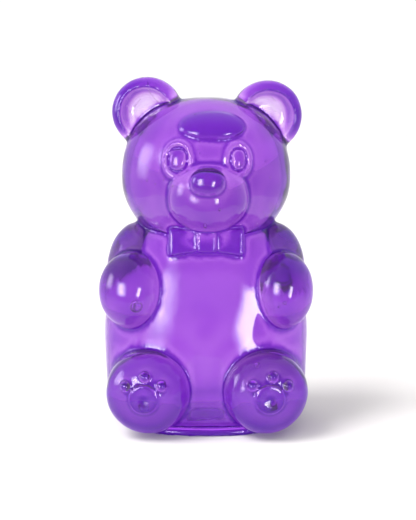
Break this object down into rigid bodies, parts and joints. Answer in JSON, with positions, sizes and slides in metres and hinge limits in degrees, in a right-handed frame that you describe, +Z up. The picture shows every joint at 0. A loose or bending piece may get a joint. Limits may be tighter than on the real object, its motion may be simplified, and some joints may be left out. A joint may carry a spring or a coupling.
{
  "type": "gummy bear",
  "caption": "Giant moulded fruit-gel bear, sitting upright, with dished ears, a bow tie and paw prints; stands on its flat base.",
  "frame": {"origin": "middle of the bear's box at the flat base", "axes": "+Z up, the face looks towards -Y, the bear's right ear is at -X"},
  "size_m": [0.0848, 0.07, 0.14],
  "materials": {
    "grape_gel": "wet-looking clear violet gelatine gel with small air bubbles"
  },
  "bodies": {
    "root": {"gummy_bear": "grape_gel"}
  },
  "joints": []
}
